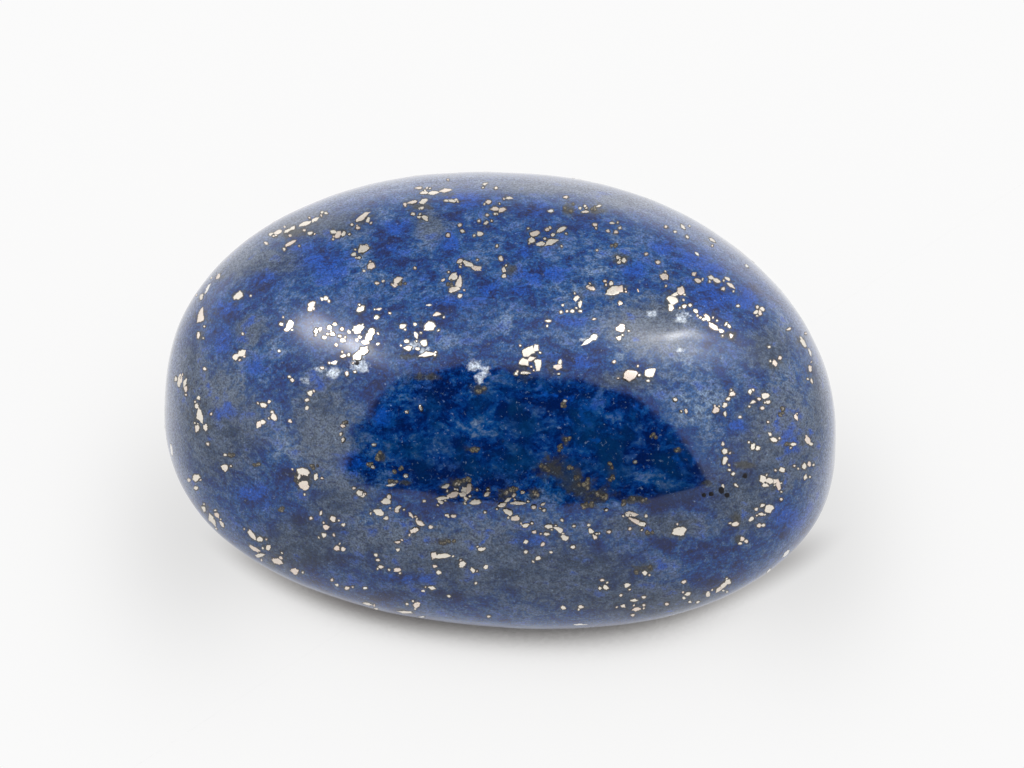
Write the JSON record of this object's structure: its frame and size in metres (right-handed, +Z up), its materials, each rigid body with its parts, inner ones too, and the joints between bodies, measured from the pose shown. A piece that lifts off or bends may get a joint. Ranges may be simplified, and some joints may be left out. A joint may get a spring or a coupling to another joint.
{
  "type": "tumbled lapis lazuli pebble",
  "caption": "Smooth, unevenly egg-shaped pebble of lapis lazuli, tumbled and polished all over, with a domed top and a flatter underside that is worn flat where it rests.",
  "frame": {"origin": "centre of the stone's bounding box in X and Y, on the surface that the stone rests on", "axes": "+X along the stone's length towards its fuller end, -Y towards its broad front, +Z up"},
  "size_m": [0.028, 0.0198, 0.016],
  "materials": {
    "lapis": "polished",
    "pyrite": "gloss"
  },
  "bodies": {
    "root": {"lapis_stone": "lapis"}
  },
  "joints": []
}
